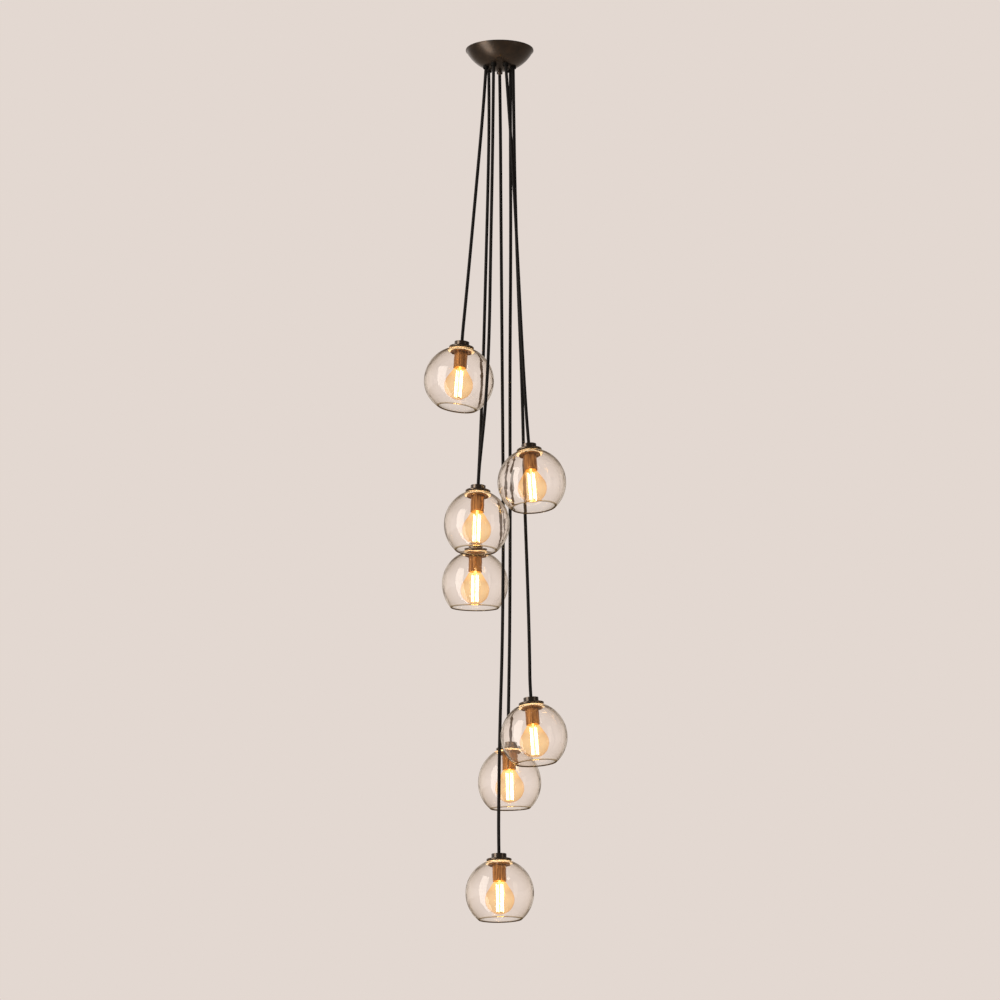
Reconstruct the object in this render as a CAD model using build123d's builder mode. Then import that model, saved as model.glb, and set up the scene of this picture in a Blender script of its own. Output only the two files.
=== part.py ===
from build123d import *

# Cluster pendant: seven clear blown-glass shades, each on its own black cord, hung at seven heights from
# one domed ceiling canopy.  Millimetres, +Z up.  The origin is on the ceiling plane at the centre of the
# canopy, so the whole object hangs below it.  -Y is the front, and +X is on the right of someone who
# faces the front.

import os
from dataclasses import dataclass
from math import acos, asin, atan2, cos, degrees, hypot, pi, radians, sin, sqrt, tan

# ---------------------------------------------------------------- driving dimensions
# canopy: a spun dome with its open side on the ceiling
canopy_dia = 127.0
canopy_depth = 40.0
canopy_wall = 1.2
canopy_rim_height = 1.6

# cord, and the ring of holes where the cords leave the canopy
cord_dia = 6.0
cord_count = 7
exit_ring_dia = 52.0
first_exit_bearing = 90.0
cord_clearance = 0.3
pivot_rise = 1.5  # from the dome's skin up to the place where a cord swings
tail_gap = 0.7  # between a cord's top end and its tail inside the canopy

# bushing in each hole, and the collar that grips the cord above it
bushing_wall = 2.2
bushing_flare = 16.0
bushing_flare_depth = 5.0
bushing_lip_width = 1.5
bushing_lip_height = 2.0
hole_clearance = 0.1
seat_gap = 0.3
collar_wall = 3.4
collar_height = 8.0
collar_clearance = 0.05
collar_screw_dia = 3.0
collar_screw_head_dia = 5.0
collar_screw_head_height = 1.4
tail_top = -18.0

# two conductors out of each cord, and the twist-on connectors that join them
conductor_dia = 1.4
conductor_spread = 1.4
conductor_bend = 2.2
connector_offset = 13.5
connector_dia = 9.2
connector_tip_dia = 6.0
connector_height = 14.0
connector_top = -16.5
connector_mouth_dia = 7.2
connector_mouth_depth = 5.0
splice_ring_dia = 5.2
connector_bearings = (0, 2)  # the exits that the two connectors stand beside
conductor_levels = (-14.0, -11.5)

# crossbar on the ceiling box, with the stud that the canopy hangs on
bar_length = 104.0
bar_width = 18.0
bar_thickness = 2.5
bar_corner = 4.0
slot_spacing = 88.9
slot_length = 11.0
slot_width = 4.6
boss_dia = 11.0
boss_height = 3.5
stud_dia = 5.0
stud_clearance = 0.05
stud_hole_clearance = 0.4
stud_nut_flats = 8.0
stud_nut_height = 4.0
nut_seat_gap = 0.1
ground_screw_offset = 24.0
ground_screw_dia = 4.0
ground_head_dia = 8.0
ground_head_height = 2.6

# finial that closes the canopy on the stud
finial_dia = 8.8
finial_waist_dia = 6.8
finial_flange_height = 1.2
finial_height = 9.0
finial_thread_depth = 5.5

# cap over each shade
flange_dia = 46.0
flange_thickness = 3.0
flange_round = 1.1
cap_dia = 27.5
cap_height = 9.0
cap_wall = 2.2
cap_top_thickness = 2.5
cap_top_round = 2.6
cord_approach = 22.0  # how far above a cap its cord is already in line with it

# glass shade
glass_wall = 2.4
neck_dia = 44.0
lip_hole_dia = 32.0
lip_thickness = 3.6
rim_round = 1.0

# stack that clamps the glass
upper_gasket_thickness = 1.6
lower_gasket_thickness = 1.0
gasket_width = 3.0
gasket_margin = 0.8
clamp_dia = 40.0
clamp_thickness = 1.2
clamp_skirt = 2.2
nipple_dia = 10.0
nipple_clearance = 0.2
clamp_nut_flats = 14.0
clamp_nut_height = 3.0

# socket cup and the lamp holder in it
cup_dia = 24.8
cup_wall = 1.0
cup_length = 30.0
holder_dia = 19.0
holder_length = 17.0
holder_roof = 2.6
shell_wall = 0.8
shell_clearance = 0.05
shell_setback = 1.5
contact_dia = 5.0
contact_thickness = 0.4

# bulb
lamp_base_dia = 11.8
lamp_base_height = 12.0
lamp_base_clearance = 0.08
thread_depth = 0.5
thread_count = 4
insulator_height = 1.4
tip_dia = 3.6
tip_height = 0.8
bulb_dia = 53.0
bulb_taper_length = 7.0
bulb_neck_dia = 19.6
bulb_neck_top_dia = 13.0
bulb_wall = 1.0
bulb_shoulder_round = 12.0
stem_dia = 5.2
stem_flare_dia = 9.6
stem_flare_height = 6.0
stem_length = 13.0
post_dia = 4.2
filament_length = 50.0
filament_dia = 1.6
filament_ring_dia = 12.0
filament_count = 4
carrier_width = 1.2
carrier_thickness = 0.8


@dataclass
class Pendant:
    """One pendant: where it hangs, how it leans, and the shape that its shade was blown to."""

    number: int
    exit_index: int  # which hole its cord comes out of, counted from the back one
    hang: tuple  # centre of the underside of its cap's flange
    lean: tuple  # how far its foot leans towards +X and towards +Y, in degrees
    belly_dia: float
    shoulder: float  # from the top of the glass down to its widest place
    skirt: float  # from there down to the mouth
    mouth_dia: float
    route: list  # points of its cord between the canopy and the cap


# The pendants are numbered from the highest to the lowest.
pendants = [
    Pendant(1, 2, (-70.5, -7.0, -578.0), (-4.2, -0.3), 128.4, 61.0, 53.0, 66.0,
            [(-29.5, -6.0, -105.5), (-44.0, -6.5, -274.5), (-59.0, -6.8, -447.5), (-65.2, -7.0, -515.0)]),
    Pendant(2, 4, (54.0, -82.0, -789.0), (4.3, -4.6), 124.0, 58.5, 49.0, 77.4,
            [(16.0, -29.0, -106.5), (24.5, -39.0, -235.5), (33.0, -52.5, -412.0), (41.0, -66.0, -586.5),
             (48.4, -76.8, -715.0)]),
    Pendant(3, 3, (-39.5, -66.0, -862.5), (-1.8, -3.0), 119.6, 58.5, 51.0, 72.0,
            [(-12.0, -27.5, -116.0), (-13.5, -33.5, -234.0), (-16.5, -42.0, -399.5), (-19.0, -51.0, -569.5),
             (-25.5, -57.5, -697.5), (-33.5, -62.3, -779.0)]),
    Pendant(4, 1, (-44.5, 66.0, -947.0), (-0.8, 3.2), 122.6, 57.5, 46.5, 87.0,
            [(-19.5, 20.5, -111.0), (-21.0, 26.5, -226.0), (-26.0, 37.5, -426.0), (-30.5, 47.0, -596.5),
             (-36.0, 55.0, -747.0), (-41.6, 60.8, -858.0)]),
    Pendant(5, 5, (57.5, -29.0, -1247.5), (4.5, -1.2), 122.0, 58.5, 49.8, 71.0,
            [(26.5, -7.5, -129.5), (28.5, -10.5, -275.5), (35.0, -14.5, -488.0), (42.0, -18.0, -669.0),
             (45.0, -21.5, -849.0), (51.5, -25.0, -1036.0), (54.6, -27.4, -1160.0)]),
    Pendant(6, 6, (16.5, 62.0, -1316.0), (1.6, 2.2), 115.4, 60.0, 48.5, 69.4,
            [(20.0, 19.5, -131.0), (21.0, 28.0, -361.5), (19.0, 36.5, -608.5), (19.5, 45.5, -853.5),
             (18.9, 53.5, -1077.0), (16.6, 58.6, -1220.0)]),
    Pendant(7, 0, (-1.0, -7.0, -1529.0), (1.2, -1.3), 123.0, 57.6, 49.5, 74.6,
            [(1.5, 24.0, -129.5), (2.5, 19.5, -325.0), (5.0, 13.0, -633.5), (7.0, 7.0, -899.0),
             (5.4, 2.0, -1123.5), (0.0, -2.0, -1299.5), (-1.8, -5.2, -1440.0)]),
]

# ---------------------------------------------------------------- sizes that follow from them
exit_ring_radius = exit_ring_dia / 2
cord_radius = cord_dia / 2
dome_radius = (canopy_dia**2 / 4 + canopy_depth**2) / (2 * canopy_depth)
dome_centre = dome_radius - canopy_depth
dome_inside = dome_radius - canopy_wall


def dome_height(across, radius):
    """Height of a dome skin of that radius, at that distance from the canopy's axis."""
    return dome_centre - sqrt(radius**2 - across**2)


pivot_height = dome_height(exit_ring_radius, dome_radius) + pivot_rise
bore_radius = cord_radius + cord_clearance
bushing_radius = bore_radius + bushing_wall
bushing_foot = pivot_height - bushing_flare_depth
bushing_mouth_radius = bore_radius + bushing_flare_depth * tan(radians(bushing_flare))
lip_radius = bushing_radius + bushing_lip_width
lip_foot = dome_height(exit_ring_radius + lip_radius, dome_inside) + seat_gap
lip_top = lip_foot + bushing_lip_height
collar_radius = cord_radius + collar_wall
collar_screw_height = lip_top + collar_height / 2
stud_radius = stud_dia / 2
boss_foot = -bar_thickness - boss_height
finial_top = -canopy_depth
finial_foot = finial_top - finial_height

cap_radius = cap_dia / 2
cap_inside = cap_radius - cap_wall
cap_roof = flange_thickness + cap_height
cap_ceiling = cap_roof - cap_top_thickness
neck_radius = neck_dia / 2
lip_hole_radius = lip_hole_dia / 2
glass_top = -upper_gasket_thickness
lip_under = glass_top - lip_thickness
clamp_radius = clamp_dia / 2
clamp_top = lip_under - lower_gasket_thickness
cup_top = clamp_top - clamp_thickness
cup_foot = cup_top - cup_length
nipple_radius = nipple_dia / 2
nipple_hole_radius = nipple_radius + nipple_clearance
clamp_nut_top = cup_top - cup_wall
nipple_foot = clamp_nut_top - clamp_nut_height
holder_top = nipple_foot - seat_gap
holder_foot = holder_top - holder_length
holder_ceiling = holder_top - holder_roof
lamp_base_radius = lamp_base_dia / 2
shell_inside = lamp_base_radius + lamp_base_clearance
shell_outside = shell_inside + shell_wall
bulb_top = holder_ceiling - contact_thickness - seat_gap
insulator_top = bulb_top - tip_height
lamp_base_top = insulator_top - insulator_height
lamp_base_foot = lamp_base_top - lamp_base_height
bulb_radius = bulb_dia / 2
bulb_centre = cup_foot - bulb_taper_length - bulb_radius
stem_foot = lamp_base_foot - stem_length
filament_top = stem_foot - carrier_thickness
filament_foot = filament_top - filament_length


class Place:
    """A spot to build at: its origin, its axis, and the planes along and across that axis."""

    def __init__(self, origin, lean=(0, 0)):
        self.origin = Vector(*origin)
        self.up = Vector(-tan(radians(lean[0])), -tan(radians(lean[1])), 1).normalized()
        self.side = Vector(0, 1, 0).cross(self.up).normalized()
        self.axis = Axis(self.origin, self.up)
        self.section = Plane(self.origin, x_dir=self.side, z_dir=self.side.cross(self.up))

    def at(self, height):
        return self.origin + self.up * height

    def level(self, height):
        return Plane(self.at(height), x_dir=self.side, z_dir=self.up)


canopy = Place((0, 0, 0))


def outward(index):
    """Direction from the canopy's axis to one cord hole, counted from the back one."""
    bearing = radians(first_exit_bearing + 360 / cord_count * index)
    return Vector(cos(bearing), sin(bearing), 0)


exits = [Place(outward(index) * exit_ring_radius) for index in range(cord_count)]


def turned(place, outline, mode=Mode.ADD):
    """A closed outline of (radius, height) points, turned about a place's axis."""
    with BuildSketch(place.section) as profile:
        with BuildLine():
            Polyline(*outline, close=True)
        make_face()
    revolve(profile.sketch, axis=place.axis, mode=mode)


def ring(place, inside, outside, foot, top):
    turned(place, [(inside, foot), (outside, foot), (outside, top), (inside, top)])


def rod(place, radius, foot, top, mode=Mode.ADD):
    turned(place, [(0, foot), (radius, foot), (radius, top), (0, top)], mode)


def hex_nut(place, flats, bore, foot, height):
    with BuildSketch(place.level(foot)) as hexagon:
        RegularPolygon(flats / 2, 6, major_radius=False)
        Circle(bore, mode=Mode.SUBTRACT)
    extrude(hexagon.sketch, amount=height)


def round_tube(points, radius, bends):
    """A round tube along straight runs joined by tangent arcs, with one radius for each bend."""
    with BuildLine() as path:
        FilletPolyline(*points, radius=bends)
    with BuildSketch(Plane(origin=path.line @ 0, z_dir=path.line % 0)) as section:
        Circle(radius)
    sweep(section.sketch, path=path.line)
    return path.wire().length


def widest_bends(points, share=0.45):
    """The radius of each bend of a route, as large as the shorter of its two runs allows."""
    bends = []
    for before, corner, after in zip(points, points[1:], points[2:]):
        half_turn = radians((corner - before).get_angle(after - corner)) / 2
        shorter = min((corner - before).length, (after - corner).length)
        bends.append(share * shorter / tan(half_turn))
    return bends


# ---------------------------------------------------------------- canopy
def make_canopy_dome():
    """Spun dome with a narrow upright rim, the cord holes and the hole for the stud."""
    with BuildPart() as dome:
        with BuildSketch(canopy.section):
            with BuildLine():
                skins = [CenterArc((0, dome_centre), radius, -90, 90 - degrees(asin(dome_centre / radius)))
                         for radius in (dome_radius, dome_inside)]
                Line(skins[0] @ 0, skins[1] @ 0)
                Line(skins[0] @ 1, skins[1] @ 1)
            make_face()
        revolve(axis=canopy.axis)
        rim_inside = sqrt(dome_inside**2 - dome_centre**2)
        ring(canopy, rim_inside, canopy_dia / 2, -canopy_rim_height, 0)
        rod(canopy, stud_radius + stud_hole_clearance, -canopy_depth, 0, Mode.SUBTRACT)
        for place in exits:
            rod(place, bushing_radius + hole_clearance, -canopy_depth, 0, Mode.SUBTRACT)
    return dome


def make_ceiling_crossbar():
    """Steel bar with two slots for the ceiling box's screws and a tapped boss for the stud."""
    with BuildPart() as bar:
        with BuildSketch(canopy.level(-bar_thickness)):
            RectangleRounded(bar_length, bar_width, bar_corner)
            with Locations((-slot_spacing / 2, 0), (slot_spacing / 2, 0)):
                SlotOverall(slot_length, slot_width, mode=Mode.SUBTRACT)
            with Locations((ground_screw_offset, 0)):
                Circle(ground_screw_dia / 2 + stud_clearance, mode=Mode.SUBTRACT)
        extrude(amount=bar_thickness)
        rod(canopy, boss_dia / 2, boss_foot, -bar_thickness)
        rod(canopy, stud_radius + stud_clearance, boss_foot, 0, Mode.SUBTRACT)
    return bar


def make_hanger_stud():
    with BuildPart() as stud:
        rod(canopy, stud_radius, finial_top - finial_thread_depth + seat_gap, -seat_gap)
    return stud


def make_stud_nuts():
    """One nut locks the stud under the crossbar, the other holds the dome down on the finial."""
    corner = stud_nut_flats / 2 / cos(radians(30))
    with BuildPart() as nuts:
        for foot in (boss_foot - stud_nut_height, dome_height(corner, dome_inside) + nut_seat_gap):
            hex_nut(canopy, stud_nut_flats, stud_radius + stud_clearance, foot, stud_nut_height)
    return nuts


def make_canopy_finial():
    """Turned nub: a flange, a waist and a round end, with a blind threaded hole."""
    bore = stud_radius + stud_clearance
    thread_floor = finial_top - finial_thread_depth
    ball_radius = finial_dia / 2
    waist_angle = degrees(acos(finial_waist_dia / finial_dia))
    with BuildPart() as finial:
        with BuildSketch(canopy.section):
            with BuildLine():
                ball = CenterArc((0, finial_foot + ball_radius), ball_radius, -90, 90 + waist_angle)
                Polyline(ball @ 0, (0, thread_floor), (bore, thread_floor), (bore, finial_top),
                         (ball_radius, finial_top), (ball_radius, finial_top - finial_flange_height),
                         ball @ 1)
            make_face()
        revolve(axis=canopy.axis)
    return finial


def make_ground_screw():
    place = Place((ground_screw_offset, 0, 0))
    with BuildPart() as screw:
        rod(place, ground_screw_dia / 2, -bar_thickness, -seat_gap)
        rod(place, ground_head_dia / 2, -bar_thickness - ground_head_height, -bar_thickness)
    return screw


def make_cord_bushings():
    """A bushing in each cord hole, with a lip inside the dome and a flared mouth for the cord to swing in."""
    with BuildPart() as bushings:
        for place in exits:
            turned(place, [(bushing_mouth_radius, bushing_foot), (bushing_radius, bushing_foot),
                           (bushing_radius, lip_foot), (lip_radius, lip_foot), (lip_radius, lip_top),
                           (bore_radius, lip_top), (bore_radius, pivot_height)])
    return bushings


def make_cord_collars():
    """A collar on each bushing, with the set screw that grips the cord."""
    collar_bore = cord_radius + collar_clearance
    with BuildPart() as collars:
        for index, place in enumerate(exits):
            ring(place, collar_bore, collar_radius, lip_top, lip_top + collar_height)
            tapped = Plane(place.at(collar_screw_height), z_dir=outward(index))
            with BuildSketch(tapped):
                Circle(collar_screw_dia / 2 + stud_clearance)
            extrude(amount=collar_radius, mode=Mode.SUBTRACT)
        for index, place in enumerate(exits):
            seat = place.at(collar_screw_height)
            with BuildSketch(Plane(seat + outward(index) * (collar_bore + seat_gap), z_dir=outward(index))):
                Circle(collar_screw_dia / 2)
            extrude(amount=collar_radius - collar_bore - seat_gap)
            with BuildSketch(Plane(seat + outward(index) * collar_radius, z_dir=outward(index))):
                Circle(collar_screw_head_dia / 2)
            extrude(amount=collar_screw_head_height)
    return collars


def make_cord_tails():
    """The end of each cord inside the canopy."""
    with BuildPart() as tails:
        for place in exits:
            rod(place, cord_radius, pivot_height + tail_gap, tail_top)
    return tails


def connector_place(bearing):
    return Place(outward(bearing) * connector_offset)


def make_conductors():
    """Two conductors out of each tail, bent over to the two connectors."""
    connector_floor = connector_top - connector_mouth_depth
    with BuildPart() as conductors:
        for side, bearing, level in zip((1, -1), connector_bearings, conductor_levels):
            for index, place in enumerate(exits):
                across = outward(index).cross(Vector(0, 0, 1))
                start = place.origin + across * (conductor_spread * side)
                finish = connector_place(bearing).origin + outward(index) * (splice_ring_dia / 2)
                round_tube([start + Vector(0, 0, tail_top), start + Vector(0, 0, level),
                            finish + Vector(0, 0, level), finish + Vector(0, 0, connector_floor + seat_gap)],
                           conductor_dia / 2, conductor_bend)
    return conductors


def make_wire_connectors():
    """Two twist-on connectors with their mouths up."""
    tip = connector_top - connector_height
    floor = connector_top - connector_mouth_depth
    mouth_radius = connector_mouth_dia / 2
    with BuildPart() as connectors:
        for place in (connector_place(bearing) for bearing in connector_bearings):
            turned(place, [(0, tip), (connector_tip_dia / 2, tip), (connector_dia / 2, connector_top),
                           (mouth_radius, connector_top), (mouth_radius, floor), (0, floor)])
    return connectors


# ---------------------------------------------------------------- one pendant
def make_cord(pendant, place):
    """The hanging cord, from its bushing's throat through the cap and the nipple to the lamp holder."""
    points = [exits[pendant.exit_index].at(pivot_height), *(Vector(*point) for point in pendant.route),
              place.at(cap_roof + cord_approach), place.at(holder_top)]
    bends = widest_bends(points)
    with BuildPart() as cord:
        length = round_tube(points, cord_radius, bends)
    fullness = cord.part.volume / (pi * cord_radius**2 * length)
    print(f"cord_{pendant.number}: {length:.0f} mm long, volume / (section x length) {fullness:.4f},"
          f" radii {[round(bend) for bend in bends]}")
    return cord


def make_cap(pendant, place):
    """Bronze cap with its wide flange, open underneath."""
    with BuildPart() as cap:
        with BuildSketch(place.section):
            with BuildLine():
                Polyline((cap_inside, 0), (flange_dia / 2, 0), (flange_dia / 2, flange_thickness),
                         (cap_radius, flange_thickness), (cap_radius, cap_roof), (bore_radius, cap_roof),
                         (bore_radius, cap_ceiling), (cap_inside, cap_ceiling), close=True)
            outline = make_face()
            corners = outline.vertices().sort_by(Axis.X)
            fillet(corners[-2:], flange_round)
            fillet(corners[:-2].sort_by_distance((cap_radius, cap_roof))[0], cap_top_round)
        revolve(axis=place.axis)
    return cap


def bulge(pendant, inset, reach):
    """Arc of the glass's outline from its widest place up or down by reach, inset from the skin."""
    edge = neck_radius if reach > 0 else pendant.mouth_dia / 2
    height = pendant.shoulder if reach > 0 else pendant.skirt
    belly = pendant.belly_dia / 2
    fall = belly - edge
    radius = (fall**2 + height**2) / (2 * fall)
    centre = Vector(belly - radius, glass_top - pendant.shoulder)
    turn = asin(reach / (radius - inset))
    return ThreePointArc(*(centre + Vector(cos(angle), sin(angle)) * (radius - inset)
                           for angle in (0, turn / 2, turn)))


def make_glass_shade(pendant, place):
    """Blown-glass globe with a thick flat lip round the hole at its top and a wide mouth below."""
    with BuildPart() as shade:
        with BuildSketch(place.section):
            with BuildLine():
                outside_top = bulge(pendant, 0, pendant.shoulder)
                inside_top = bulge(pendant, glass_wall, pendant.shoulder - lip_thickness)
                Polyline(outside_top @ 1, (lip_hole_radius, glass_top), (lip_hole_radius, lip_under),
                         inside_top @ 1)
                outside_foot = bulge(pendant, 0, -pendant.skirt)
                inside_foot = bulge(pendant, glass_wall, -pendant.skirt)
                Line(outside_foot @ 1, inside_foot @ 1)
            outline = make_face()
            corners = outline.vertices()
            fillet(corners.group_by(Axis.Y)[0], rim_round)
            fillet(corners.sort_by(Axis.X)[:2], rim_round)
        revolve(axis=place.axis)
    return shade


def make_shade_clamp(pendant, place):
    """Everything that clamps the glass: two gaskets, the clamp washer, the nipple and its nut."""
    with BuildPart() as clamp:
        ring(place, lip_hole_radius - gasket_width, neck_radius, glass_top, 0)
        ring(place, lip_hole_radius - gasket_width, clamp_radius - gasket_margin, clamp_top, lip_under)
        clamp_inside = clamp_radius - clamp_thickness
        turned(place, [(nipple_hole_radius, cup_top), (clamp_inside, cup_top),
                       (clamp_inside, cup_top - clamp_skirt), (clamp_radius, cup_top - clamp_skirt),
                       (clamp_radius, clamp_top), (nipple_hole_radius, clamp_top)])
        ring(place, bore_radius, nipple_radius, nipple_foot, cap_ceiling)
        hex_nut(place, clamp_nut_flats, nipple_radius + stud_clearance, nipple_foot, clamp_nut_height)
    return clamp


def make_socket_cup(pendant, place):
    with BuildPart() as cup:
        turned(place, [(nipple_hole_radius, cup_top), (cup_dia / 2, cup_top), (cup_dia / 2, cup_foot),
                       (cup_dia / 2 - cup_wall, cup_foot), (cup_dia / 2 - cup_wall, clamp_nut_top),
                       (nipple_hole_radius, clamp_nut_top)])
    return cup


def make_lamp_holder(pendant, place):
    """Insulating body, brass screw shell and centre contact."""
    seat = shell_outside + shell_clearance
    with BuildPart() as holder:
        turned(place, [(0, holder_top), (holder_dia / 2, holder_top), (holder_dia / 2, holder_foot),
                       (seat, holder_foot), (seat, holder_ceiling), (0, holder_ceiling)])
        ring(place, shell_inside, shell_outside, holder_foot, holder_ceiling - shell_setback)
        rod(place, contact_dia / 2, holder_ceiling - contact_thickness, holder_ceiling)
    return holder


def envelope(place, inset, mode):
    """The bulb's glass outline, filled in and turned: neck, shoulder and a round belly."""
    centre = Vector(0, bulb_centre)
    radius = bulb_radius - inset
    neck_top = Vector(bulb_neck_top_dia / 2 - inset, lamp_base_foot)
    neck = Vector(bulb_neck_dia / 2 - inset, cup_foot)
    spread = neck - centre
    tangent = atan2(spread.Y, spread.X) - acos(radius / hypot(spread.X, spread.Y))
    with BuildSketch(place.section) as outline:
        with BuildLine():
            touch = centre + Vector(cos(tangent), sin(tangent)) * radius
            FilletPolyline(neck_top, neck, touch, radius=bulb_shoulder_round)
            belly = CenterArc(centre, radius, degrees(tangent), -90 - degrees(tangent))
            Polyline(belly @ 1, (0, lamp_base_foot), neck_top)
        make_face()
    revolve(outline.sketch, axis=place.axis, mode=mode)


def make_bulb(pendant, place):
    """Screw base, glass envelope, stem, and a cage of straight filaments round a glass post."""
    pitch = lamp_base_height / (2 * thread_count)
    thread = [(lamp_base_radius - thread_depth * (step % 2), lamp_base_top - pitch * step)
              for step in range(2 * thread_count + 1)]
    with BuildPart() as bulb:
        envelope(place, 0, Mode.ADD)
        envelope(place, bulb_wall, Mode.SUBTRACT)
        turned(place, [(0, lamp_base_top), *thread, (0, lamp_base_foot)])
        turned(place, [(0, lamp_base_top), (lamp_base_radius - 2 * thread_depth, lamp_base_top),
                       (tip_dia / 2, insulator_top), (0, insulator_top)])
        rod(place, tip_dia / 2, insulator_top, bulb_top)
        turned(place, [(0, stem_foot), (stem_dia / 2, stem_foot),
                       (stem_dia / 2, lamp_base_foot - stem_flare_height),
                       (stem_flare_dia / 2, lamp_base_foot), (0, lamp_base_foot)])
        rod(place, post_dia / 2, filament_foot - carrier_thickness, stem_foot)
        for foot in (filament_top, filament_foot - carrier_thickness):
            with BuildSketch(place.level(foot)):
                with PolarLocations(0, 2, angular_range=180):
                    Rectangle(filament_ring_dia + filament_dia, carrier_width)
            extrude(amount=carrier_thickness)
        with BuildSketch(place.level(filament_foot)):
            with PolarLocations(filament_ring_dia / 2, filament_count):
                Circle(filament_dia / 2)
        extrude(amount=filament_length)
    return bulb


# ---------------------------------------------------------------- build and write
def write(name, piece):
    piece.part.label = name
    export_step(piece.part, f"parts/{name}.step")


os.makedirs("parts", exist_ok=True)
write("canopy_dome", make_canopy_dome())
write("ceiling_crossbar", make_ceiling_crossbar())
write("hanger_stud", make_hanger_stud())
write("stud_nuts", make_stud_nuts())
write("canopy_finial", make_canopy_finial())
write("ground_screw", make_ground_screw())
write("cord_bushings", make_cord_bushings())
write("cord_collars", make_cord_collars())
write("cord_tails", make_cord_tails())
write("conductors", make_conductors())
write("wire_connectors", make_wire_connectors())

makers = {"cord": make_cord, "cap": make_cap, "glass_shade": make_glass_shade,
          "shade_clamp": make_shade_clamp, "socket_cup": make_socket_cup,
          "lamp_holder": make_lamp_holder, "bulb": make_bulb}
for pendant in pendants:
    place = Place(pendant.hang, pendant.lean)
    for name, make in makers.items():
        write(f"{name}_{pendant.number}", make(pendant, place))
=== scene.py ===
from math import acos, asin, atan2, cos, degrees, hypot, pi, radians, sin, tan

import bmesh
import bpy
from mathutils import Matrix, Vector


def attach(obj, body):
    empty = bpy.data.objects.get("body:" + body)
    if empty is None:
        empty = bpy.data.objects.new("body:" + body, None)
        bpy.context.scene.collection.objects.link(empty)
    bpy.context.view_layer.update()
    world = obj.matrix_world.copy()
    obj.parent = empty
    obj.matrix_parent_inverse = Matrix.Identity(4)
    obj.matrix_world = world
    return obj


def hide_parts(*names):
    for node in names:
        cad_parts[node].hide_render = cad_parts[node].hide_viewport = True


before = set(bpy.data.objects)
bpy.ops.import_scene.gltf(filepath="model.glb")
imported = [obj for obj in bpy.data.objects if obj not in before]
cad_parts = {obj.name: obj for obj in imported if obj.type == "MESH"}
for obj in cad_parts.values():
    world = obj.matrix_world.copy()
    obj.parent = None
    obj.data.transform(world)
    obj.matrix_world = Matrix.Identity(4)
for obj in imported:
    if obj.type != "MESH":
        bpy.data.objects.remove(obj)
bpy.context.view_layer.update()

scene = bpy.context.scene
mm = 0.001

# ------------------------------------------------------------------ camera
# It stands in front of the light, below its middle, and looks up a little with a long lens.
camera_tilt = 12
camera = bpy.data.objects.new("camera", bpy.data.cameras.new("camera"))
scene.collection.objects.link(camera)
camera.location = (0.0007, -7.9899, -2.5613)
camera.rotation_euler = (radians(90 + camera_tilt), 0, 0)
camera.data.sensor_width = 36
camera.data.lens = 160.2
camera.data.clip_end = 200
scene.camera = camera


# ------------------------------------------------------------------ materials
def linear(colour):
    """A colour written as sRGB hex, as the linear RGBA that a shader takes."""
    channels = [int(colour[i:i + 2], 16) / 255 for i in (1, 3, 5)]
    return [c / 12.92 if c <= 0.04045 else ((c + 0.055) / 1.055) ** 2.4 for c in channels] + [1]


def material(name):
    """An empty material, and its node tree to fill."""
    made = bpy.data.materials.new(name)
    made.use_nodes = True
    made.node_tree.nodes.clear()
    return made, made.node_tree


def add(tree, kind, *ordered, out=0, settings=(), stops=(), **named):
    """Adds a node and returns one of its outputs. Its sockets are given in order or by name, each with a
    value or another node's output, and stops are the places and colours of a colour ramp."""
    made = tree.nodes.new(kind)
    for key, value in dict(settings).items():
        setattr(made, key, value)
    for index, (place, colour) in enumerate(stops):
        element = made.color_ramp.elements[index] if index < 2 else made.color_ramp.elements.new(place)
        element.position, element.color = place, linear(colour)
    given = list(zip(made.inputs, ordered))
    for key, value in named.items():
        wanted = key.replace("_", " ").lower()
        given.append((next(s for s in made.inputs if s.name.lower() == wanted and s.enabled), value))
    for socket, value in given:
        if isinstance(value, bpy.types.NodeSocket):
            tree.links.new(value, socket)
        else:
            socket.default_value = value
    return made.outputs[out] if made.outputs else made


def every(size):
    """The texture scale at which a pattern repeats about every so many millimetres."""
    return 1000 / size


def oiled_bronze(name, low, high, roughness):
    """Steel plated with oil-rubbed bronze: brown-black with faint clouds, under a clear lacquer that shows a
    window as a soft patch."""
    made, tree = material(name)
    where = add(tree, "ShaderNodeTexCoord", out="Object")
    cloud = add(tree, "ShaderNodeTexNoise", Vector=where, Scale=every(14), Detail=4, Roughness=0.6)
    grain = add(tree, "ShaderNodeTexNoise", Vector=where, Scale=every(0.6), Detail=2)
    colour = add(tree, "ShaderNodeValToRGB", cloud, stops=((0.3, low), (0.72, high)))
    rough = add(tree, "ShaderNodeMapRange", Value=cloud, To_Min=roughness - 0.05, To_Max=roughness + 0.08)
    bump = add(tree, "ShaderNodeBump", Strength=0.12, Distance=0.0002, Height=grain)
    skin = add(tree, "ShaderNodeBsdfPrincipled", Base_Color=colour, Metallic=0.85, Roughness=rough,
               Normal=bump, Coat_Weight=0.6, Coat_Roughness=0.3)
    add(tree, "ShaderNodeOutputMaterial", skin)
    return made


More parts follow.
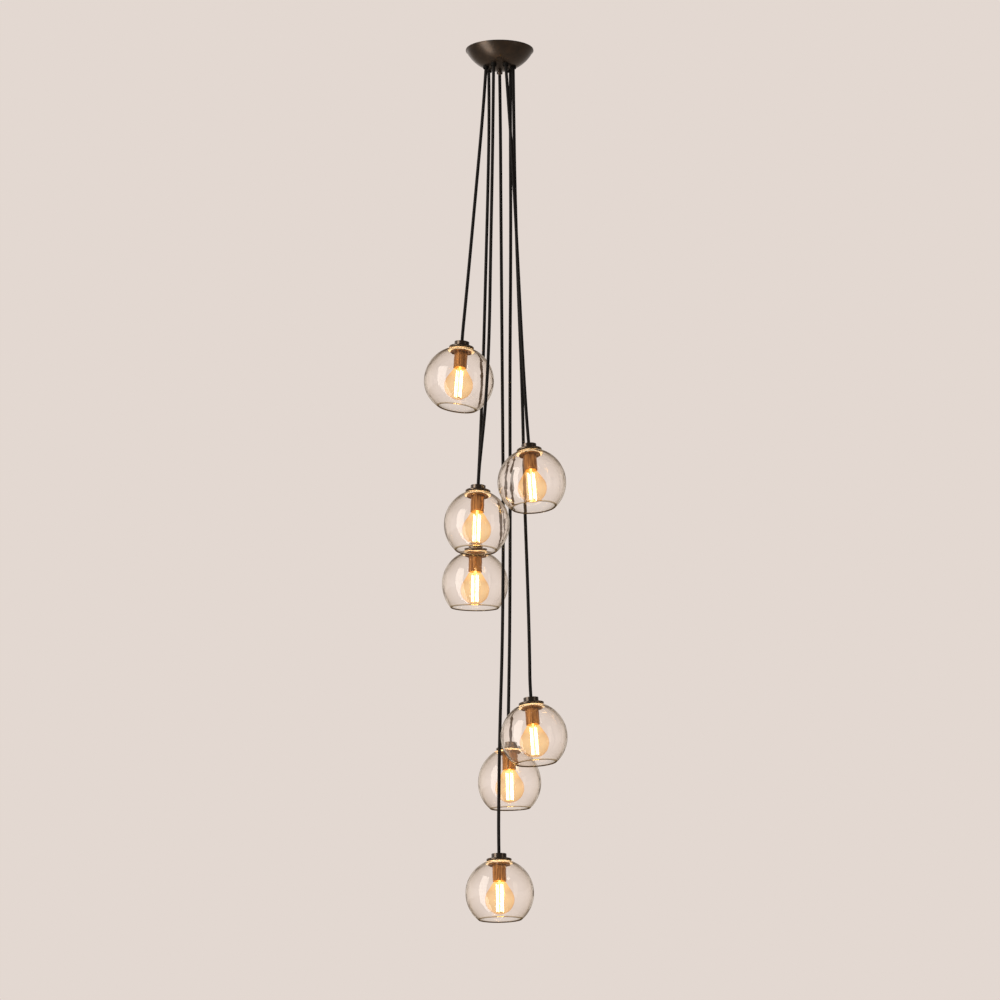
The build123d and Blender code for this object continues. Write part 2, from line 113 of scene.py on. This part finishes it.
def brushed_bronze():
    """Turned and brushed bronze: a warm brown with fine light and dark streaks along the cup."""
    made, tree = material("brushed_bronze")
    where = add(tree, "ShaderNodeTexCoord", out="Object")
    stretched = add(tree, "ShaderNodeMapping", where, Scale=(1, 1, 0.03))
    streaks = add(tree, "ShaderNodeTexNoise", Vector=stretched, Scale=every(2.4), Detail=3, Roughness=0.6)
    colour = add(tree, "ShaderNodeValToRGB", streaks, stops=((0.3, "#5a3318"), (0.7, "#d3965a")))
    bump = add(tree, "ShaderNodeBump", Strength=0.15, Distance=0.0002, Height=streaks)
    skin = add(tree, "ShaderNodeBsdfPrincipled", Base_Color=colour, Metallic=0.9, Roughness=0.36,
               Normal=bump)
    add(tree, "ShaderNodeOutputMaterial", skin)
    return made


def metal(name, low, high, roughness):
    """A plated or turned metal, with faint turning marks and patchy shine."""
    made, tree = material(name)
    where = add(tree, "ShaderNodeTexCoord", out="Object")
    marks = add(tree, "ShaderNodeTexNoise", Vector=where, Scale=every(1.2), Detail=3)
    colour = add(tree, "ShaderNodeValToRGB", marks, stops=((0.3, low), (0.7, high)))
    bump = add(tree, "ShaderNodeBump", Strength=0.08, Distance=0.0001, Height=marks)
    skin = add(tree, "ShaderNodeBsdfPrincipled", Base_Color=colour, Metallic=1, Roughness=roughness,
               Normal=bump)
    add(tree, "ShaderNodeOutputMaterial", skin)
    return made


def moulded(name, low, high, roughness, shine=0.5):
    """A moulded plastic, rubber or paint with a fine matt skin."""
    made, tree = material(name)
    where = add(tree, "ShaderNodeTexCoord", out="Object")
    patches = add(tree, "ShaderNodeTexNoise", Vector=where, Scale=every(8), Detail=2)
    pores = add(tree, "ShaderNodeTexNoise", Vector=where, Scale=every(0.5), Detail=2)
    colour = add(tree, "ShaderNodeValToRGB", patches, stops=((0.3, low), (0.7, high)))
    bump = add(tree, "ShaderNodeBump", Strength=0.15, Distance=0.0001, Height=pores)
    skin = add(tree, "ShaderNodeBsdfPrincipled", Base_Color=colour, Roughness=roughness, Normal=bump,
               Specular_IOR_Level=shine)
    add(tree, "ShaderNodeOutputMaterial", skin)
    return made


def braided_cord():
    """Cotton-braided flex: black yarn in a fine diagonal braid, matt."""
    made, tree = material("black_braided_flex")
    where = add(tree, "ShaderNodeTexCoord", out="Object")
    # The yarns are 0.6 mm apart, drawn 1.1 mm apart so that they show, and cross at 35 degrees each way.
    yarn_scale = 290
    braid_angle = 35
    waves = []
    for side in (1, -1):
        turn = add(tree, "ShaderNodeMapping", where, Rotation=(0, radians(side * braid_angle), radians(20)))
        waves.append(add(tree, "ShaderNodeTexWave", turn, out="Fac", settings={"bands_direction": "Z"},
                         Scale=yarn_scale, Distortion=0.6, Detail=1))
    braid = add(tree, "ShaderNodeMath", *waves, settings={"operation": "MULTIPLY"})
    colour = add(tree, "ShaderNodeValToRGB", braid, stops=((0.1, "#060505"), (0.8, "#15110f")))
    bump = add(tree, "ShaderNodeBump", Strength=0.5, Distance=0.0003, Height=braid)
    skin = add(tree, "ShaderNodeBsdfPrincipled", Base_Color=colour, Roughness=0.75, Specular_IOR_Level=0.25,
               Normal=bump)
    add(tree, "ShaderNodeOutputMaterial", skin)
    return made


def blown_glass(name, *tints):
    """Clear soda-lime glass, blown by hand: a slightly wavy skin, and edges that go grey-brown where it is
    deep. A faint glow painted on it as emission stands in for the lit bulb's light."""
    made, tree = material(name)
    where = add(tree, "ShaderNodeTexCoord", out="Object")
    # The waves that blowing leaves are 15 to 30 mm across.
    wave = add(tree, "ShaderNodeTexNoise", Vector=where, Scale=every(24), Detail=1.5, Roughness=0.4)
    bump = add(tree, "ShaderNodeBump", Strength=0.4, Distance=0.002, Height=wave)
    facing = add(tree, "ShaderNodeLayerWeight", out="Facing", Blend=0.28)
    tint = add(tree, "ShaderNodeValToRGB", facing, stops=tints)
    body = add(tree, "ShaderNodeBsdfGlass", Color=tint, IOR=1.5, Roughness=0, Normal=bump)
    clear = add(tree, "ShaderNodeBsdfTransparent", linear("#f2f2ee"))
    shadow = add(tree, "ShaderNodeLightPath", out="Is Shadow Ray")
    either = add(tree, "ShaderNodeMixShader", shadow, body, clear)
    # Painted glow: a faint emission on the glass in place of the bulb's light on it.
    painted_bulb_glow = add(tree, "ShaderNodeEmission", linear("#ffb877"), 0.012)
    add(tree, "ShaderNodeOutputMaterial", add(tree, "ShaderNodeAddShader", either, painted_bulb_glow))
    made.cycles.emission_sampling = "NONE"
    return made


def ground_glass():
    """The cut and ground lip of the glass, frosted. Its cream band is a painted glow, an emission standing in
    for the bulb's light caught in the lip.
    """
    made, tree = material("ground_glass_lip_painted_glow")
    where = add(tree, "ShaderNodeTexCoord", out="Object")
    grit = add(tree, "ShaderNodeTexNoise", Vector=where, Scale=every(6), Detail=3)
    colour = add(tree, "ShaderNodeValToRGB", grit, stops=((0.25, "#e6bb80"), (0.7, "#ffe6bd")))
    # The emission paints the cream glow of the bulb's light in the lip.
    skin = add(tree, "ShaderNodeBsdfPrincipled", Base_Color=colour, Roughness=0.6, Emission_Color=colour,
               Emission_Strength=1.4)
    add(tree, "ShaderNodeOutputMaterial", skin)
    made.cycles.emission_sampling = "NONE"
    return made


def amber_glass():
    """Thin gold-tinted bulb glass: peach, a little deeper at its edges, and lit from inside."""
    made, tree = material("amber_bulb_glass")
    height = add(tree, "ShaderNodeSeparateXYZ", add(tree, "ShaderNodeTexCoord", out="UV"), out="Y")
    facing = add(tree, "ShaderNodeLayerWeight", out="Facing", Blend=0.5)
    tint = add(tree, "ShaderNodeValToRGB", facing,
               stops=((0.2, "#fff6dc"), (0.7, "#fbebcb"), (0.97, "#e9c79c")))
    clear = add(tree, "ShaderNodeBsdfTransparent", tint)
    gloss = add(tree, "ShaderNodeBsdfGlossy", linear("#fff6ea"), Roughness=0.03)
    share = add(tree, "ShaderNodeValToRGB", facing,
                stops=((0.0, "#383838"), (0.7, "#585858"), (1.0, "#b0b0b0")))
    skin = add(tree, "ShaderNodeMixShader", share, clear, gloss)
    # The glow is strongest at the neck, where the light runs up inside the glass.
    glow = add(tree, "ShaderNodeValToRGB", height,
               stops=((0.0, "#7d5434"), (0.6, "#7a5030"), (0.93, "#ffb43c")))
    lit = add(tree, "ShaderNodeEmission", glow, 0.45)
    add(tree, "ShaderNodeOutputMaterial", add(tree, "ShaderNodeAddShader", skin, lit))
    made.cycles.emission_sampling = "NONE"
    return made


def glowing(name, low, high, strength):
    """A part of the lit bulb that gives light off itself."""
    made, tree = material(name)
    where = add(tree, "ShaderNodeTexCoord", out="Object")
    patches = add(tree, "ShaderNodeTexNoise", Vector=where, Scale=every(5), Detail=2)
    colour = add(tree, "ShaderNodeValToRGB", patches, stops=((0.3, low), (0.7, high)))
    skin = add(tree, "ShaderNodeBsdfPrincipled", Base_Color=colour, Roughness=0.4, Emission_Color=colour,
               Emission_Strength=strength)
    add(tree, "ShaderNodeOutputMaterial", skin)
    return made


# The canopy and the caps share one oil-rubbed finish, made in two copies. The canopy's is darker, as painted
# shade, and the caps' is lighter so that their reflections of the window come out brighter, as a painted
# highlight.
canopy_bronze_painted_shade = oiled_bronze("oil_rubbed_bronze", "#20160c", "#3a2a1a", 0.3)
cap_bronze_painted_highlight = oiled_bronze("oil_rubbed_bronze_lightened_copy", "#3a3027", "#54473a", 0.17)
cup_bronze = brushed_bronze()
washer_bronze = metal("turned_bronze", "#6f4520", "#ab7840", 0.36)
brass = metal("turned_brass", "#b08a4e", "#d8b678", 0.32)
nickel = metal("nickel_plated_brass", "#9a948a", "#cfc9bd", 0.3)
zinc = metal("zinc_plated_steel", "#8d8f90", "#c2c4c4", 0.36)
flex = braided_cord()
glass = blown_glass("clear_blown_glass", (0.15, "#fffefd"), (0.4, "#faf8f5"), (0.66, "#dad7cd"),
                    (0.9, "#978f7d"))
rim_glass = blown_glass("fire_polished_rim", (0.05, "#e6dfce"), (0.5, "#b5a98e"), (0.9, "#6d6049"))
lip_glass_painted_glow = ground_glass()
amber = amber_glass()
filament = glowing("lit_filament", "#ffd890", "#fff0cc", 9)
stem_glass = glowing("lit_stem_glass", "#ffb54a", "#ffe2a8", 1.6)
rubber = moulded("black_rubber", "#0d0b0a", "#181412", 0.6)
phenolic = moulded("black_phenolic", "#141312", "#1f1d1b", 0.5)
nylon = moulded("black_nylon", "#080706", "#100d0b", 0.7, 0.15)
wire_skin = moulded("wire_insulation", "#cfccc4", "#e0ddd5", 0.5)
wire_cap = moulded("orange_nylon_cap", "#b0561c", "#c8682a", 0.45)
green_paint = moulded("green_paint", "#1e5a34", "#2b7445", 0.4)


# ------------------------------------------------------------------ mesh tools
def pendant_place(hang, lean):
    """The matrix of a pendant's own frame: its origin under the cap's flange, its axis up along the cord."""
    up = Vector((-tan(radians(lean[0])), -tan(radians(lean[1])), 1)).normalized()
    side = Vector((0, 1, 0)).cross(up).normalized()
    turn = Matrix((side, up.cross(side), up)).transposed().to_4x4()
    return Matrix.Translation(Vector(hang)) @ turn


def finish_piece(name, bm, at, body, finishes, replaces=(), sharp=40):
    """Turns a bmesh in a pendant's own frame, in millimetres, into a finished piece that rides on a body."""
    bmesh.ops.remove_doubles(bm, verts=bm.verts, dist=0.002)
    bmesh.ops.recalc_face_normals(bm, faces=bm.faces)
    layer = bm.loops.layers.uv.new("height")
    low = min(v.co.z for v in bm.verts)
    high = max(v.co.z for v in bm.verts)
    for face in bm.faces:
        face.smooth = True
        for loop in face.loops:
            x, y, z = loop.vert.co
            loop[layer].uv = (0.5 + atan2(y, x) / (2 * pi), (z - low) / (high - low))
    bmesh.ops.scale(bm, vec=(mm, mm, mm), verts=bm.verts)
    bmesh.ops.transform(bm, matrix=at, verts=bm.verts)
    mesh = bpy.data.meshes.new(name)
    bm.to_mesh(mesh)
    bm.free()
    mesh.set_sharp_from_angle(angle=radians(sharp))
    for finish in finishes:
        mesh.materials.append(finish)
    piece = bpy.data.objects.new(name, mesh)
    scene.collection.objects.link(piece)
    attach(piece, body)
    if replaces:
        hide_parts(*replaces)
    return piece


def turned(bm, start, *moves, closed=True, steps=96):
    """Spins an outline about the Z axis. A move is a point (radius, height), or an arc (centre radius, centre
    height, degrees, steps), where a positive turn runs from the top of a circle towards its right side."""
    first = last = bm.verts.new((start[0], 0, start[1]))
    edges = []
    for move in moves:
        if len(move) == 2:
            new = bmesh.ops.extrude_vert_indiv(bm, verts=[last])
            last = new["verts"][0]
            last.co = (move[0], 0, move[1])
            edges += new["edges"]
        else:
            before = set(bm.edges)
            new = bmesh.ops.spin(bm, geom=[last], cent=(move[0], 0, move[1]), axis=(0, 1, 0),
                                 angle=radians(move[2]), steps=move[3])
            last = new["geom_last"][0]
            edges += [edge for edge in bm.edges if edge not in before]
    if closed:
        edges.append(bm.edges.new((last, first)))
    verts = list({v for edge in edges for v in edge.verts})
    bmesh.ops.spin(bm, geom=verts + edges, cent=(0, 0, 0), axis=(0, 0, 1), angle=2 * pi, steps=steps,
                   use_merge=True)


def hexagon(bm, flats, foot, height, bore):
    """A hexagonal nut with a bore."""
    corner = 1 / cos(pi / 6)
    turned(bm, (bore * corner, foot), (flats / 2 * corner, foot), (flats / 2 * corner, foot + height),
           (bore * corner, foot + height), steps=6)


# ------------------------------------------------------------------ cords
cord_diameter = 6 * mm
exit_count = 7
exit_ring_radius = 26 * mm
exit_height = -33.5 * mm
cord_straight_from = 34 * mm
cord_end = -11.7 * mm


class Cord:
    """A cord's exit from the canopy, counted from the back one, its length, which is not used, and its route
    down to its cap.
    """

    def __init__(self, exit_index, length, *route):
        bearing = radians(90 + 360 / exit_count * exit_index)
        self.exit = Vector((exit_ring_radius * cos(bearing), exit_ring_radius * sin(bearing), exit_height))
        self.length = length
        self.route = route


cords = {
    1: Cord(2, 0.558, (-0.0295, -0.006, -0.1055), (-0.044, -0.0065, -0.2745), (-0.059, -0.0068, -0.4475),
            (-0.0652, -0.007, -0.515)),
    2: Cord(4, 0.771, (0.016, -0.029, -0.1065), (0.0245, -0.039, -0.2355), (0.033, -0.0525, -0.412),
            (0.041, -0.066, -0.5865), (0.0484, -0.0768, -0.715)),
    3: Cord(3, 0.843, (-0.012, -0.0275, -0.116), (-0.0135, -0.0335, -0.234), (-0.0165, -0.042, -0.3995),
            (-0.019, -0.051, -0.5695), (-0.0255, -0.0575, -0.6975), (-0.0335, -0.0623, -0.779)),
    4: Cord(1, 0.927, (-0.0195, 0.0205, -0.111), (-0.021, 0.0265, -0.226), (-0.026, 0.0375, -0.426),
            (-0.0305, 0.047, -0.5965), (-0.036, 0.055, -0.747), (-0.0416, 0.0608, -0.858)),
    5: Cord(5, 1.226, (0.0265, -0.0075, -0.1295), (0.0285, -0.0105, -0.2755), (0.035, -0.0145, -0.488),
            (0.042, -0.018, -0.669), (0.045, -0.0215, -0.849), (0.0515, -0.025, -1.036),
            (0.0546, -0.0274, -1.16)),
    6: Cord(6, 1.295, (0.02, 0.0195, -0.131), (0.021, 0.028, -0.3615), (0.019, 0.0365, -0.6085),
            (0.0195, 0.0455, -0.8535), (0.0189, 0.0535, -1.077), (0.0166, 0.0586, -1.22)),
    7: Cord(0, 1.508, (0.0015, 0.024, -0.1295), (0.0025, 0.0195, -0.325), (0.005, 0.013, -0.6335),
            (0.007, 0.007, -0.899), (0.0054, 0.002, -1.1235), (0.0, -0.002, -1.2995),
            (-0.0018, -0.0052, -1.44)),
}


def make_cord(number, at):
    """A cord in one smooth sweep, straight from a little above its cap down to the lamp holder."""
    cord = cords[number]
    points = [cord.exit, *cord.route, at @ Vector((0, 0, cord_straight_from)), at @ Vector((0, 0, cord_end))]
    curve = bpy.data.curves.new(f"hanging_cord_{number}", "CURVE")
    curve.dimensions = "3D"
    curve.resolution_u = 16
    curve.bevel_depth = cord_diameter / 2
    curve.bevel_resolution = 4
    curve.use_fill_caps = True
    spline = curve.splines.new("NURBS")
    spline.points.add(len(points) - 1)
    for point, where in zip(spline.points, points):
        point.co = (*where, 1)
    spline.order_u = 3
    spline.use_endpoint_u = True
    curve.materials.append(flex)
    piece = bpy.data.objects.new(f"hanging_cord_{number}", curve)
    scene.collection.objects.link(piece)
    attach(piece, f"pendant_{number}")
    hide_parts(f"cord_{number}")


# ------------------------------------------------------------------ pendants
class Pendant:
    """Where a pendant hangs, how it leans, and the shape that its globe was blown to, in millimetres."""

    def __init__(self, hang, lean, belly_dia, shoulder, skirt, mouth_dia, mouth_tilt=0.0):
        self.at = pendant_place(hang, lean)
        self.belly = belly_dia / 2
        self.shoulder = shoulder
        self.skirt = skirt
        self.mouth = mouth_dia / 2
        self.mouth_tilt = mouth_tilt


pendants = {
    1: Pendant((-0.0705, -0.007, -0.578), (-4.2, -0.3), 128.4, 61.0, 53.0, 66.0, 4.0),
    2: Pendant((0.054, -0.082, -0.789), (4.3, -4.6), 124.0, 58.5, 49.0, 77.4),
    3: Pendant((-0.0395, -0.066, -0.8625), (-1.8, -3.0), 119.6, 58.5, 51.0, 72.0),
    4: Pendant((-0.0445, 0.066, -0.947), (-0.8, 3.2), 122.6, 57.5, 46.5, 87.0),
    5: Pendant((0.0575, -0.029, -1.2475), (4.5, -1.2), 122.0, 58.5, 49.8, 71.0),
    6: Pendant((0.0165, 0.062, -1.316), (1.6, 2.2), 115.4, 60.0, 48.5, 69.4),
    7: Pendant((-0.001, -0.007, -1.529), (1.2, -1.3), 123.0, 57.6, 49.5, 74.6),
}

# Sizes that all seven share, in millimetres, with heights from the underside of the cap's flange.
glass_wall = 2.4
lip_top = -1.6
lip_under = -5.2
lip_radius = 22.0
lip_hole_radius = 16.0
lip_round = 0.8
rim_depth = 0.6
out_of_round = 0.006
gasket_bore = 13
upper_gasket_radius = 21.4
lower_gasket_radius = 18.6
washer_radius = 20
washer_bore = 5.2
washer_top = -6.2
washer_foot = -7.4
nipple_radius = 5.0
nipple_bore = 3.3
nipple_top = 9.5
nipple_foot = -11.4
clamp_nut_flats = 14
clamp_nut_height = 3.0
bulb_radius = 26.5
bulb_middle = -70.9
bulb_neck_radius = 9.8
cup_foot = -37.4
base_top = -17.2
base_foot = -29.2
base_radius = 5.9
thread_pitch = 3.0
thread_count = 4
stem_radius = 2.1
stick_count = 4
stick_radius = 0.8
cage_radius = 6.0
cage_turn = 0.4
cage_top = -43.0
cage_foot = -93.0


def make_shade(number, pendant):
    """A blown globe: a ground flat lip at the top, a bellied wall, and a fire-polished rim."""
    widest = lip_top - pendant.shoulder
    bm = bmesh.new()
    bends = []
    for edge, reach in ((lip_radius, pendant.shoulder), (pendant.mouth, pendant.skirt)):
        fall = pendant.belly - edge
        radius = (fall**2 + reach**2) / (2 * fall)
        bends.append((pendant.belly - radius, radius))
    (upper_x, upper_r), (lower_x, lower_r) = bends
    outer_turn = degrees(asin(pendant.shoulder / upper_r))
    inner_turn = degrees(asin((pendant.shoulder + lip_under - lip_top) / (upper_r - glass_wall)))
    skirt_turn = degrees(asin((pendant.skirt - glass_wall / 2) / lower_r))
    end = Vector((lower_x, widest)) + Vector((cos(radians(skirt_turn)), -sin(radians(skirt_turn)))) * (
        lower_r - glass_wall / 2)
    outside = ((lip_radius, lip_top), (upper_x, widest, outer_turn, 26),
               (lower_x, widest, skirt_turn, 22))
    rim = (end.x, end.y, 180, 10)
    inside = ((lower_x, widest, -skirt_turn, 22), (upper_x, widest, -inner_turn, 26))
    hole = ((lip_hole_radius + lip_round, lip_under), (lip_hole_radius, lip_under + lip_round),
            (lip_hole_radius, lip_top - lip_round))
    turned(bm, (lip_hole_radius + lip_round, lip_top), *outside, rim, *inside, *hole, steps=128)
    for face in bm.faces:
        where = face.calc_center_median()
        if where.z < end.y + rim_depth:
            face.material_index = 1
        elif where.z > lip_under - 0.3 and hypot(where.x, where.y) < lip_radius:
            face.material_index = 2
    # By hand the wall is never quite round, and the mouth is never quite square to the axis.
    slope = tan(radians(pendant.mouth_tilt))
    for v in bm.verts:
        depth = max(0.0, (widest - v.co.z) / pendant.skirt)
        v.co.z -= slope * v.co.x * depth**2
        below_lip = min(1.0, abs(lip_top - v.co.z) / 20)
        bulge = 1 + out_of_round * sin(2 * atan2(v.co.y, v.co.x) + number) * below_lip
        v.co.x *= bulge
        v.co.y *= bulge
    finish_piece(f"globe_{number}", bm, pendant.at, f"pendant_{number}", (glass, rim_glass, lip_glass_painted_glow),
                 [f"glass_shade_{number}"], 50)


def make_clamp(number, pendant):
    """Rubber gaskets over and under the glass lip, and the washer, nipple and nut that clamp them."""
    body = f"pendant_{number}"
    bm = bmesh.new()
    for radius, foot, top in ((upper_gasket_radius, lip_top, 0),
                              (lower_gasket_radius, washer_top, lip_under)):
        turned(bm, (gasket_bore, foot), (radius, foot), (radius, (foot + top) / 2, -180, 6),
               (gasket_bore, top))
    finish_piece(f"gaskets_{number}", bm, pendant.at, body, (rubber,), [f"shade_clamp_{number}"])
    bm = bmesh.new()
    turned(bm, (washer_bore, washer_foot), (washer_radius - 1.2, washer_foot),
           (washer_radius - 1.2, washer_foot - 1), (washer_radius, washer_foot - 1),
           (washer_radius, washer_foot + 0.5), (washer_radius - 0.5, washer_foot + 0.5, -90, 4),
           (washer_bore, washer_top))
    finish_piece(f"clamp_washer_{number}", bm, pendant.at, body, (washer_bronze,), ())
    bm = bmesh.new()
    turned(bm, (nipple_bore, nipple_foot), (nipple_radius - 0.4, nipple_foot),
           (nipple_radius, nipple_foot + 0.4), (nipple_radius, nipple_top), (nipple_bore, nipple_top),
           steps=48)
    hexagon(bm, clamp_nut_flats, nipple_foot, clamp_nut_height, nipple_radius + 0.05)
    finish_piece(f"nipple_{number}", bm, pendant.at, body, (nickel,), ())


def make_bulb(number, pendant):
    """Screw base, pear envelope, stem and the four lit filaments between their carriers."""
    body = f"lamp_{number}"
    above = cup_foot - bulb_middle
    touch = atan2(above, bulb_neck_radius) - acos(bulb_radius / hypot(bulb_neck_radius, above))
    bm = bmesh.new()
    turned(bm, (0, base_foot), (6.5, base_foot), (7.15, -31.2), (7.9, -33.4), (8.9, -35.6), (10.3, -38.0),
           (bulb_radius * cos(touch), bulb_middle + bulb_radius * sin(touch)),
           (0, bulb_middle, degrees(touch) + 90, 28), closed=False)
    finish_piece(f"bulb_glass_{number}", bm, pendant.at, body, (amber,), [f"bulb_{number}"],
                 60)
    bm = bmesh.new()
    thread = []
    for turn in range(thread_count):
        top = base_top - thread_pitch * turn
        thread += [(base_radius, top - 0.4), (base_radius, top - 1.1), (base_radius - 0.5, top - 1.9),
                   (base_radius - 0.5, top - 2.6)]
    turned(bm, (0, -15.0), (1.8, -15.0), (1.8, -15.8), (base_radius - 1, base_top), *thread,
           (base_radius, base_foot + 0.1), (0, base_foot + 0.1), closed=False, steps=48)
    finish_piece(f"screw_base_{number}", bm, pendant.at, body, (nickel,), ())
    bm = bmesh.new()
    turned(bm, (0, base_foot), (4.8, base_foot), (3.4, -32.0), (stem_radius, -35.2),
           (stem_radius, cage_foot + 1), (1.2, cage_foot), (0, cage_foot), closed=False, steps=32)
    finish_piece(f"stem_{number}", bm, pendant.at, body, (stem_glass,), ())
    bm = bmesh.new()
    for stick in range(stick_count):
        made = bmesh.ops.create_uvsphere(bm, u_segments=12, v_segments=8, radius=stick_radius)
        for v in made["verts"]:
            v.co.z += cage_top - stick_radius if v.co.z > 0.01 else cage_foot + stick_radius
        bearing = 2 * pi / stick_count * stick + cage_turn
        bmesh.ops.translate(bm, verts=made["verts"],
                            vec=(cage_radius * cos(bearing), cage_radius * sin(bearing), 0))
    finish_piece(f"filaments_{number}", bm, pendant.at, body, (filament,), ())
    bm = bmesh.new()
    for height in (cage_top + 0.4, cage_foot - 0.4):
        for stick in range(stick_count // 2):
            made = bmesh.ops.create_cube(bm, size=1)
            bmesh.ops.scale(bm, vec=(2 * cage_radius + 1, 1.0, 0.7), verts=made["verts"])
            bmesh.ops.rotate(bm, cent=(0, 0, 0), verts=made["verts"],
                             matrix=Matrix.Rotation(2 * pi / stick_count * stick + cage_turn, 3, "Z"))
            bmesh.ops.translate(bm, verts=made["verts"], vec=(0, 0, height))
    bmesh.ops.bevel(bm, geom=bm.edges[:], offset=0.15, offset_type="OFFSET", affect="EDGES", segments=1,
                    profile=0.5, material=-1)
    finish_piece(f"carriers_{number}", bm, pendant.at, body, (nickel,), ())


for number, pendant in pendants.items():
    make_cord(number, pendant.at)
    make_shade(number, pendant)
    make_clamp(number, pendant)
    make_bulb(number, pendant)

# ------------------------------------------------------------------ finishes of the metalwork
finishes = {"canopy_dome": canopy_bronze_painted_shade, "canopy_finial": canopy_bronze_painted_shade, "ceiling_crossbar": zinc,
            "hanger_stud": zinc, "stud_nuts": zinc, "ground_screw": green_paint, "cord_bushings": nylon,
            "cord_collars": brass, "cord_tails": flex, "conductors": wire_skin,
            "wire_connectors": wire_cap}
for number in pendants:
    finishes |= {f"cap_{number}": cap_bronze_painted_highlight, f"socket_cup_{number}": cup_bronze,
                 f"lamp_holder_{number}": phenolic}
for node, finish in finishes.items():
    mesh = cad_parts[node].data
    mesh.materials.clear()
    mesh.materials.append(finish)

# ------------------------------------------------------------------ floor, world and lamps
# A light of this kind hangs in a room two floors high, so the pale floor is six metres down.
floor_height = -6
floor_reach = 40
floor_mesh = bpy.data.meshes.new("floor")
bm = bmesh.new()
bmesh.ops.create_grid(bm, x_segments=1, y_segments=1, size=floor_reach)
bmesh.ops.translate(bm, verts=bm.verts, vec=(0, 0, floor_height))
bm.to_mesh(floor_mesh)
bm.free()
floor = bpy.data.objects.new("floor", floor_mesh)
scene.collection.objects.link(floor)
plaster, tree = material("pale_plaster")
add(tree, "ShaderNodeOutputMaterial", add(tree, "ShaderNodeBsdfDiffuse", linear("#e4d9cf")))
floor_mesh.materials.append(plaster)

world = bpy.data.worlds.new("studio")
scene.world = world
world.use_nodes = True
tree = world.node_tree
tree.nodes.clear()
camera_ray = add(tree, "ShaderNodeLightPath", out="Is Camera Ray")
through_ray = add(tree, "ShaderNodeLightPath", out="Is Transmission Ray")
gloss_ray = add(tree, "ShaderNodeLightPath", out="Is Glossy Ray")
backdrop = "#e3d8d1"
deepest_dim = 0.85
# The room is lit from the left, so shiny things find it darker in front and on the right, and all find it
# darker overhead.
bearing = add(tree, "ShaderNodeTexCoord", out="Generated")
across = add(tree, "ShaderNodeSeparateXYZ", bearing, out="X")
along = add(tree, "ShaderNodeSeparateXYZ", bearing, out="Y")
above = add(tree, "ShaderNodeSeparateXYZ", bearing, out="Z")
overhead = add(tree, "ShaderNodeValToRGB", above, stops=((0.32, backdrop), (0.62, "#5f554c")))
sideways = add(tree, "ShaderNodeMapRange", Value=across, From_Min=-0.1, From_Max=0.75)
frontways = add(tree, "ShaderNodeMapRange", Value=along, From_Min=-0.15, From_Max=-0.8)
corners = add(tree, "ShaderNodeMath", sideways, frontways, settings={"operation": "MAXIMUM"})
dim = add(tree, "ShaderNodeMath", corners, deepest_dim, settings={"operation": "MULTIPLY"})
seen = add(tree, "ShaderNodeBackground", linear(backdrop), 1)
through = add(tree, "ShaderNodeBackground", overhead, 1)
corner = add(tree, "ShaderNodeBackground", linear("#3a3027"), 1)
mirrored = add(tree, "ShaderNodeMixShader", dim, through, corner)
light = add(tree, "ShaderNodeBackground", linear("#f4ece4"), 0.5)
world_light = add(tree, "ShaderNodeMixShader", gloss_ray, light, mirrored)
world_light = add(tree, "ShaderNodeMixShader", through_ray, world_light, through)
add(tree, "ShaderNodeOutputWorld", add(tree, "ShaderNodeMixShader", camera_ray, world_light, seen))


def lamp(name, place, aim, size, power, colour, shows=True):
    """A soft box that looks at a point. One that shows is seen in shiny things."""
    data = bpy.data.lights.new(name, "AREA")
    data.shape = "RECTANGLE"
    data.size, data.size_y = size
    data.energy = power
    data.color = linear(colour)[:3]
    made = bpy.data.objects.new(name, data)
    made.location = place
    made.rotation_euler = (Vector(aim) - Vector(place)).to_track_quat("-Z", "Y").to_euler()
    made.visible_camera = False
    made.visible_transmission = False
    made.visible_glossy = shows
    scene.collection.objects.link(made)


lamp("window", (-2.2, -1.35, -2.3), (0, 0, -2.3), (1.35, 7.0), 150, "#fff6ec")
lamp("fill", (3.8, -2.6, -0.9), (0, 0, -0.9), (1.2, 4.0), 19, "#fff3e6")
lamp("back", (1.2, 4.2, 0.6), (0, 0, -0.8), (2.2, 2.2), 70, "#fffaf2", False)

scene.view_settings.view_transform = "Standard"
